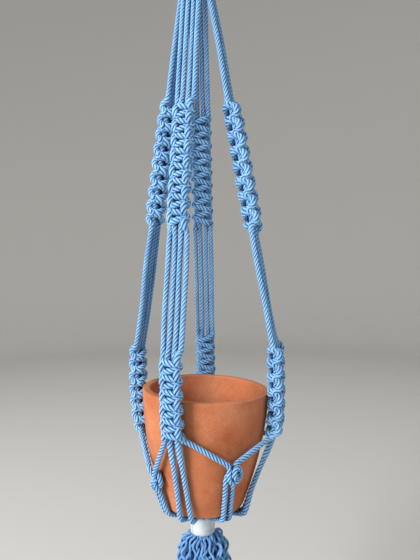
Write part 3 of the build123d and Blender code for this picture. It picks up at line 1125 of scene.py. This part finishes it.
@dataclass
class Hanger:
    """The cord hanger: four knotted arms, the mid-knots and the sling."""

    work: CordWork
    lay: Layout = Layout()
    sling: Sling = Sling()
    chance: random.Random = field(default_factory=lambda: random.Random(17))
    knot_swell: float = 1.3
    low_filler_swell: float = 1.22
    low_working_swell: float = 1.23

    def __post_init__(self) -> None:
        """Set out the arms and the mid-knots."""
        gap = self.lay.seat_gap
        # azimuth, upper top and pitch, lower top, pitch and wraps, stand-off, and the fillers' splay
        self.arms = [
            Arm("front", -110.0, 211.5, 5.75, 395.5, 4.95, 11, gap, (-3.3, 5.7)),
            Arm("right", -20.0, 206.5, 6.0, 393.5, 5.4, 12, gap, (-9.0, -2.4), 3.6),
            Arm("back", 87.0, 203.0, 5.6, 393.5, 5.1, 12, gap, (-2.8, 2.2), wide=1.12),
            Arm("left", 163.0, 200.5, 5.8, 399.5, 5.15, 12, gap + 1.4, (-2.1, 3.0)),
        ]
        # azimuth, height up the pot, the arms before and after it, its pair's splay, and if it is turned
        self.knots = [
            MidKnot("front_right", -65.0, 40.5, 0, 1, (1.0, 6.2), False, 5.3),
            MidKnot("back_right", 33.0, 38.0, 1, 2, (-2.2, 2.0), False),
            MidKnot("back_left", 126.0, 36.0, 2, 3, (-2.0, 2.4), True),
            MidKnot("front_left", -139.0, 28.0, 3, 0, (-2.2, 2.0), True),
        ]

    def bundle_places(self) -> dict[tuple[float, int], Vector]:
        """Place in the band of each of the sixteen cords that come down to it.

        Returns:
            The place for each run's azimuth and side.
        """
        runs = sorted(
            (azimuth % 360 + 4 * side.value, azimuth, side.value)
            for azimuth in [a.azimuth for a in self.arms] + [k.azimuth for k in self.knots]
            for side in Side
        )
        places = {}
        ring = 0
        for i, (at, azimuth, side) in enumerate(runs):
            inner = i % 4 == 1
            places[(azimuth, side)] = self.lay.in_bundle(at if inner else ring * 30 + 20, inner)
            ring += 0 if inner else 1
        return places

    def upper(self, arm: Arm, slot: int) -> list[Vector]:
        """Control points of one cord from the taped neck to the upper sinnet.

        Args:
            arm: the arm.
            slot: the cord's place in the row, 0 to 3 anticlockwise.

        Returns:
            The points.
        """
        lay = self.lay
        # the outer cords lie beside the second in the bundle, and the third is in its core
        turn = (-29.0, 0.0, 0.0, 29.0)[slot]
        start = lay.in_bundle(arm.azimuth + turn, slot == 2)
        across = sideways(arm.azimuth) * ((slot - 1.5) * lay.row_pitch)
        spread = arm.taut(lay.fan_bottom + 8) + across * 0.96
        last = arm.taut(-arm.upper_top + 9) + across
        return [
            start + axis_at(lay.neck_bottom + 12),
            start + axis_at(lay.neck_bottom - 4),
            spread,
            (spread + last) / 2 + self.drift(arm),
            last,
        ]

    def drift(self, arm: Arm) -> Vector:
        """How far a taut cord of an arm strays from its place in the row."""
        stray = self.chance.uniform
        return sideways(arm.azimuth) * stray(-0.5, 0.5) + outwards(arm.azimuth) * stray(-1.0, 1.0)

    def middle(self, arm: Arm, row: float) -> list[Vector]:
        """Control points of one cord between the arm's sinnets.

        Args:
            arm: the arm.
            row: the cord's place across the row, in cords from its middle.

        Returns:
            The points.
        """
        across = sideways(arm.azimuth) * (row * self.lay.row_pitch)
        top = arm.taut(-arm.upper_top) - arm.pull * (arm.upper_wraps * arm.upper_pitch + 7)
        foot = arm.foot + arm.pull * 8
        return [
            top + across,
            top * 0.66 + foot * 0.34 + across + self.drift(arm),
            top * 0.33 + foot * 0.67 + across + self.drift(arm),
            foot + across,
        ]

    def sinnets(self, arm: Arm) -> tuple[Sinnet, Sinnet]:
        """Set out an arm's runs of square knots.

        Args:
            arm: the arm.

        Returns:
            The upper run and the lower.
        """
        right = sideways(arm.azimuth)
        upper = KnotFrame(arm.taut(-arm.upper_top), right, right.cross(arm.pull), -arm.pull)
        lower = KnotFrame(arm.foot, right, outwards(arm.azimuth), Vector((0, 0, -1)))
        pot, length = self.lay.pot, arm.lower_pitch * arm.lower_wraps
        rim = pot.out(arm.azimuth, pot.rim_d / 2, pot.height)[1]
        crown = (-arm.lower_top - rim) / length
        return (
            Sinnet(upper, arm.upper_pitch, arm.upper_wraps, wide=arm.wide),
            Sinnet(lower, arm.lower_pitch, arm.lower_wraps, 1.5, 3.7, 4.5, arm.bow, crown, arm.wide),
        )

    def build(self) -> list[bpy.types.Object]:
        """Lay every leg and make the hanger's pieces.

        Returns:
            The pieces.
        """
        bundle = self.bundle_places()
        meets = {}
        for knot in self.knots:
            meets[(knot.arm_before, 1)] = knot
            meets[(knot.arm_after, -1)] = knot
        for index, arm in enumerate(self.arms):
            for side in Side:
                self.lay_filler(index, arm, side, bundle[(arm.azimuth, side.value)])
            for layer in Layer:
                start = -layer.value
                middle = start if arm.upper_wraps % 2 == 0 else -start
                end = middle if arm.lower_wraps % 2 == 0 else -middle
                knot = meets[(index, end)]
                spot = bundle[(knot.azimuth, -end)]
                self.lay_working(index, arm, layer, (start, middle, end), knot, spot)
        return [self.work.make(name) for name in list(self.work.pieces)]

    def lay_filler(self, index: int, arm: Arm, side: Side, bundle: Vector) -> None:
        """Lay a leg that runs straight through its arm's knots and on round the pot's heel.

        Args:
            index: the arm's place in the row of arms.
            arm: the arm.
            side: the side of the arm's middle on which it lies.
            bundle: its place in the band.
        """
        name, first = arm.name, side is Side.CLOCKWISE
        upper, lower = self.sinnets(arm)
        start = (arm.end_radius - (arm.tuck if first else 0), arm.lower_end + 2.5)
        run, gathered = self.sling.run(arm.azimuth, start, side, arm.splay, self.lay.filler_pitch, bundle)
        stretches = [
            Stretch(f"upper_cords_{name}", self.upper(arm, 1 if first else 2)),
            Stretch(f"upper_sinnet_{name}", upper.filler(side), self.knot_swell),
            Stretch(f"middle_cords_{name}", self.middle(arm, side.value / 2)),
            Stretch(f"lower_sinnet_{name}", lower.filler(side), self.low_filler_swell),
            Stretch(f"filler_cords_{name}", run),
            Stretch("cord_gather", gathered),
        ]
        self.work.lay(f"{name} filler {side.name.lower()}", stretches, index + side.value)

    def lay_working(
        self, index: int, arm: Arm, layer: Layer, sides: tuple[int, int, int], knot: MidKnot, bundle: Vector
    ) -> None:
        """Lay a leg that ties its arm's knots, slants to a mid-knot and goes on round the pot's heel.

        Args:
            index: the arm's place in the row of arms.
            arm: the arm.
            layer: which of the two working cords it is.
            sides: the side of the arm on which it starts, passes the middle and ends.
            knot: the mid-knot.
            bundle: its place in the band.
        """
        name = arm.name
        start, middle, end = sides
        upper, lower = self.sinnets(arm)
        side = Side(-end)
        run, gathered = self.sling.run(knot.azimuth, knot.below(), side, knot.splay, knot.pitch, bundle)
        stretches = [
            Stretch(f"upper_cords_{name}", self.upper(arm, 0 if start < 0 else 3)),
            Stretch(f"upper_sinnet_{name}", upper.working(layer), self.knot_swell),
            Stretch(f"middle_cords_{name}", self.middle(arm, 1.5 * middle)),
            Stretch(f"lower_sinnet_{name}", lower.working(layer), self.low_working_swell),
            Stretch(f"working_cord_{name}_{knot.name}", self.slant(arm, end, knot)),
            Stretch(f"mid_knot_{knot.name}", knot.turns(side)),
            Stretch(f"pair_cords_{knot.name}", run),
            Stretch("cord_gather", gathered),
        ]
        self.work.lay(f"{name} working {layer.name.lower()}", stretches, index * 0.7 + start)

    def slant(self, arm: Arm, side: int, knot: MidKnot) -> list[Vector]:
        """Control points of a working cord from a lower sinnet to its mid-knot.

        Args:
            arm: the arm.
            side: the side of the arm on which the cord leaves it.
            knot: the mid-knot.

        Returns:
            The points.
        """
        pot = self.lay.pot
        start = place(arm.azimuth, arm.end_radius, arm.lower_end - 1.0, side * 6.1)
        end = knot.frame.at(-side * 3.0, 1.0, 0.5)
        points = []
        for share in (0.12, 0.5, 0.84):
            point = start.lerp(end, share)
            azimuth = math.degrees(math.atan2(point.y, point.x))
            radius, level = pot.inside(azimuth, math.hypot(point.x, point.y), point.z)
            least = pot.wall_radius(level, CORD_R + 2 * self.lay.seat_gap)
            if radius < least:
                point = place(azimuth, *pot.out(azimuth, least, level))
            points.append(point)
        return points


# --- loops, tape and tassel ---


@dataclass
class RingLoops:
    """Eight folded cords over the hanging ring, drawn together into the taped neck."""

    work: CordWork
    lay: Layout = Layout()
    layer_r: tuple[float, float] = (6.9, 10.5)  # from the middle of the ring's wire to each layer's
    fan: tuple[float, float] = (50.0, 26.0)  # degrees round the bundle between each layer's folds
    seat_turn: float = 11.0  # degrees round the ring between folds
    cut: float = 0.925  # how near the spline comes to control points an eighth of a turn apart
    in_layer: int = 4  # folds side by side in a layer

    def build(self) -> bpy.types.Object:
        """Lay the eight folds in two layers, side by side.

        Returns:
            The piece.
        """
        lay = self.lay
        for i in range(len(self.layer_r) * self.in_layer):
            layer, seat = divmod(i, self.in_layer)
            seat -= (self.in_layer - 1) / 2
            reach = self.layer_r[layer] / self.cut
            turn = math.radians(seat * self.seat_turn)
            down = Vector((math.sin(turn), 0, -math.cos(turn)))
            wire = axis_at(lay.ring_middle) + down * (lay.ring_middle - lay.wire_middle)
            legs = []
            for face in (-1, 1):
                spread = face * (90 - seat * self.fan[layer])
                bundle = lay.in_bundle(spread, layer == 0 and abs(seat) < 1)
                toward = Vector((0, face, 0))
                legs.append(
                    [
                        bundle + axis_at(lay.neck_bottom + 6),
                        bundle + axis_at(lay.neck_top - 3),
                        bundle * 0.4 + (wire + toward * reach) * 0.6 + down * 9,
                        wire + toward * reach,
                        wire + (toward - down) * (reach * math.sqrt(0.5)),
                    ]
                )
            control = [*legs[0], wire - down * reach, *reversed(legs[1])]
            self.work.lay(f"fold {i}", [Stretch("ring_loops", control)], i * 0.8)
        return self.work.make("ring_loops")


@dataclass
class TapeBand:
    """Cotton tape wound round the gathered cords, with its free end lapped over."""

    name: str
    top: float
    bottom: float
    start_turn: float
    turns: float = 2.3
    thickness: float = 0.24
    radius: float = 9.15
    rows: int = 10
    steps_a_turn: int = 64
    slack: float = 1.12  # how much a turn adds to the winding's radius, in thicknesses
    free_end: float = 0.97  # share of the winding past which its end lifts
    lift: float = 0.08
    lumps: int = 40  # along the whole winding

    def build(self, finish: bpy.types.Material) -> bpy.types.Object:
        """Wind the tape.

        Args:
            finish: its material.

        Returns:
            The piece.
        """
        shell = bmesh.new()
        rise = (self.top - self.bottom) / self.rows
        edge = [shell.verts.new((self.radius, 0, self.bottom + rise * i)) for i in range(self.rows + 1)]
        line = [shell.edges.new(pair) for pair in zip(edge, edge[1:])]
        steps = int(self.turns * self.steps_a_turn)
        angle = self.turns * 2 * math.pi
        bmesh.ops.spin(shell, geom=edge + line, cent=(0, 0, 0), axis=(0, 0, 1), angle=angle, steps=steps)
        put_in_order(shell)
        self.settle_down(shell, steps)
        turned = Matrix.Rotation(math.radians(self.start_turn), 3, "Z")
        bmesh.ops.rotate(shell, verts=shell.verts, cent=(0, 0, 0), matrix=turned)
        bmesh.ops.scale(shell, verts=shell.verts, vec=(MM, MM, MM))
        bmesh.ops.recalc_face_normals(shell, faces=shell.faces)
        bmesh.ops.solidify(shell, geom=shell.faces[:], thickness=self.thickness * MM)
        put_in_order(shell)
        bmesh.ops.recalc_face_normals(shell, faces=shell.faces)
        mesh = bpy.data.meshes.new(self.name)
        shell.to_mesh(mesh)
        shell.free()
        smooth(mesh)
        made = link_object(mesh, f"{self.name}_wound")
        made.data.materials.append(finish)
        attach(made, "hanger")
        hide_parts(self.name)
        return made

    def settle_down(self, shell: bmesh.types.BMesh, steps: int) -> None:
        """Let each turn lie on the last one, wander up and down, and swell over the cords.

        Args:
            shell: the strip, one column of points for each step of its turns.
            steps: how many steps its turns have.
        """
        chance = random.Random(7)
        lump = [chance.uniform(-0.12, 0.12) for _ in range(self.lumps)]
        shell.verts.ensure_lookup_table()
        for i, vert in enumerate(shell.verts):
            share = i // (self.rows + 1) / steps
            level = (vert.co.z - self.bottom) / (self.top - self.bottom)
            laid = self.thickness * self.slack * self.turns * share
            lifted = self.lift * max(0.0, (share - self.free_end) / (1 - self.free_end))
            bulge = 0.3 * lump[int(share * (self.lumps - 2))] + 0.072 * math.sin(level * 9 + share * 31)
            flat = Vector((vert.co.x, vert.co.y, 0)).normalized() * (self.radius + laid + lifted + bulge)
            wander = 0.22 * math.sin(share * 9.0 + 1.0) + 0.3 * (share - 1)
            vert.co = flat + axis_at(vert.co.z + wander)


@dataclass
class Tassel:
    """The cords' ends below the band, unplied into their strands, which keep the crimp of the twist."""

    work: CordWork
    lay: Layout = Layout()
    count: int = 112
    strand_d: float = 2.0
    length: float = 74.0
    bulge: float = 22.0
    root_r: float = 7.4
    bend: tuple[float, float] = (1.0, 18.0)  # mm below the band, from which build works out two points that it doesn't use
    plain: float = 5.0  # mm of a strand, held in the band, before its crimp starts to open
    opening: float = 7.0  # mm over which the crimp opens

    def build(self) -> bpy.types.Object:
        """Lay the strands in rings, from the middle outwards.

        Returns:
            The piece.
        """
        chance = random.Random(41)
        kept = Strands()
        top = self.lay.band_bottom
        for i in range(self.count):
            line = even_points(spline_points(self.strand(i, chance)), 1.0)
            across, beside = steady_frames(line)
            run = np.arange(len(line)) * 1.0
            crimp = chance.uniform(10.5, 13.5)
            turn = (chance.uniform(0, 6.3) + 2 * math.pi * run / crimp)[:, None]
            grow = (np.clip((run - self.plain) / self.opening, 0, 1) * chance.uniform(1.0, 1.7))[:, None]
            crimped = line + grow * (np.cos(turn) * across + np.sin(turn) * beside)
            kept.take(crimped, run, crimped, np.ones(len(line)))
        # painted shade: a cord radius 1.14 times the strand's puts every strand's crest level near 0.75, so
        # the whole tassel takes a darker colour off the ramp
        made = link_object(kept.mesh(self.strand_d, self.strand_d / 2 * 1.14, 5), "tassel_strands")
        made.data.materials.append(self.work.finish)
        start, end = ((0, 0, (top - below) * MM) for below in self.bend)
        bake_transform(made)
        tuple(start)
        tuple(end)
        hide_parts("tassel")
        return made

    def strand(self, i: int, chance: random.Random) -> list[Vector]:
        """Control points of one strand, from inside the band to its end.

        Args:
            i: its number, from the middle outwards.
            chance: gives it its own length, spread and bends.

        Returns:
            The points.
        """
        top = self.lay.band_bottom
        share = math.sqrt((i + 0.5) / self.count)
        azimuth = i * GOLDEN_ANGLE
        start = outwards(azimuth) * (self.root_r * share)
        wide = self.bulge * share * chance.uniform(0.82, 1.08)
        length = self.length * chance.uniform(0.86, 1.0)
        swing = chance.uniform(-22, 22)
        # those at the back turn down lower, clear of the band
        behind = 4 * max(0.0, outwards(azimuth).y)
        shoulder = outwards(azimuth + swing * 0.3) * wide * 0.86
        aim = outwards(azimuth + swing)
        return [
            start + axis_at(top + 6),
            start * 1.02 + axis_at(top - 1.5),
            shoulder + axis_at(top - 5.0 - 6 * (1 - share) - behind),
            aim * wide + axis_at(top - 20),
            aim * wide * chance.uniform(0.9, 1.04) + axis_at(top - 42),
            outwards(azimuth + swing * 1.3) * wide * chance.uniform(0.75, 1.0) + axis_at(top - length),
        ]


# --- stage ---


@dataclass(frozen=True)
class Lamp:
    """A soft square lamp, which faces the object's middle."""

    name: str
    spot: tuple[float, float, float]
    size: float
    power: float

    def hang(self) -> None:
        """Add the lamp to the scene."""
        data = bpy.data.lights.new(self.name, "AREA")
        data.shape, data.size, data.energy = "SQUARE", self.size, self.power
        lamp = bpy.data.objects.new(self.name, data)
        lamp.location = self.spot
        middle = Vector((0, 0, -0.32))
        lamp.rotation_euler = (middle - Vector(self.spot)).to_track_quat("-Z", "Y").to_euler()
        bpy.context.scene.collection.objects.link(lamp)


@dataclass(frozen=True)
class Studio:
    """Pale floor that sweeps up to a backdrop all round, soft lamps and the camera."""

    floor_z: float = -0.74
    radius: float = 2.2
    sweep: float = 0.8
    wall: float = 3.6
    sky: str = "#F2F4F8"
    sky_strength: float = 0.41
    lamps: tuple[Lamp, ...] = (
        Lamp("key", (-1.26, -1.02, 0.3), 0.8, 40.0),
        Lamp("fill", (1.3, -1.0, 0.0), 1.2, 3.4),
        Lamp("top", (0.2, 0.6, 1.3), 1.0, 7.0),
    )
    eye: tuple[float, float, float] = (0.008, -0.363, -0.3415)
    roll: float = 0.65
    frame_mm: float = 36.0
    focal_share: float = 453 / 560  # the lens's focal length as a share of the frame's height

    def backdrop(self) -> None:
        """Spin the floor and its sweep."""
        shell = bmesh.new()
        profile = [(0.02, self.floor_z), (self.radius, self.floor_z)]
        for i in range(1, 13):
            turn = math.radians(90 * i / 12)
            rise = self.sweep * (1 - math.cos(turn))
            profile.append((self.radius + self.sweep * math.sin(turn), self.floor_z + rise))
        profile.append((self.radius + self.sweep, self.floor_z + self.wall))
        verts = [shell.verts.new((x, 0, z)) for x, z in profile]
        edges = [shell.edges.new(pair) for pair in zip(verts, verts[1:])]
        whole = {"angle": 2 * math.pi, "steps": 72, "use_merge": True}
        bmesh.ops.spin(shell, geom=verts + edges, cent=(0, 0, 0), axis=(0, 0, 1), **whole)
        put_in_order(shell)
        # the small hole in the floor's middle is closed, and the wall's open top is far above it
        middle = [e for e in shell.edges if e.is_boundary and e.verts[0].co.z < 0]
        bmesh.ops.holes_fill(shell, edges=middle)
        bmesh.ops.recalc_face_normals(shell, faces=shell.faces)
        bmesh.ops.reverse_faces(shell, faces=shell.faces)
        mesh = bpy.data.meshes.new("backdrop")
        shell.to_mesh(mesh)
        shell.free()
        smooth(mesh)
        floor = link_object(mesh, "backdrop")
        floor.data.materials.append(PalePaper().material())

    def light(self) -> None:
        """Light the object softly from the left front, with a weaker fill."""
        world = bpy.data.worlds.new("studio")
        world.use_nodes = True
        sky = {"Color": linear(self.sky), "Strength": self.sky_strength}
        settle(world.node_tree.nodes["Background"], sky, {})
        bpy.context.scene.world = world
        for lamp in self.lamps:
            lamp.hang()

    def camera(self) -> None:
        """Set the camera level with the arms' middle, close in front, with a slight roll."""
        data = bpy.data.cameras.new("camera")
        data.sensor_width, data.lens = self.frame_mm, self.focal_share * self.frame_mm
        data.clip_start = 0.01
        camera = bpy.data.objects.new("camera", data)
        camera.location = self.eye
        camera.rotation_euler = (math.radians(90), math.radians(self.roll), 0)
        bpy.context.scene.collection.objects.link(camera)
        bpy.context.scene.camera = camera

    def build(self) -> None:
        """Set out the whole stage."""
        self.backdrop()
        self.light()
        self.camera()
        bpy.context.scene.view_settings.view_transform = "Standard"


def dress(node: bpy.types.Object, finish: bpy.types.Material) -> None:
    """Give a CAD node a finish, in its object's own material slots.

    Args:
        node: the node's object.
        finish: the material.
    """
    for held in node.material_slots:
        held.link = "OBJECT"
        held.material = finish


def main() -> None:
    """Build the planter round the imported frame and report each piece."""
    logging.basicConfig(level=logging.INFO, format="%(message)s")
    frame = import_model()
    Studio().build()
    lay = Layout()
    cotton, tape = TwistedCotton().material(), ClothTape().material()
    work, folds = CordWork(Cord(), cotton), CordWork(Cord(), cotton)
    pieces = [
        *Hanger(work).build(),
        RingLoops(folds).build(),
        TapeBand("neck_tape", lay.neck_top, lay.neck_bottom, 200.0).build(tape),
        TapeBand("band_tape", lay.band_top, lay.band_bottom, 108.0).build(tape),
        Tassel(work).build(),
    ]
    dress(frame["nodes"]["terracotta_pot"], Terracotta().material())
    dress(frame["nodes"]["hanging_ring"], TurnedBeech().material())
    for piece in pieces:
        log.info("%s: %d faces", piece.name, len(piece.data.polygons))
    for name, length in {**work.lengths, **folds.lengths}.items():
        log.info("%s: %.0f mm", name, length)


if __name__ == "__main__":
    main()
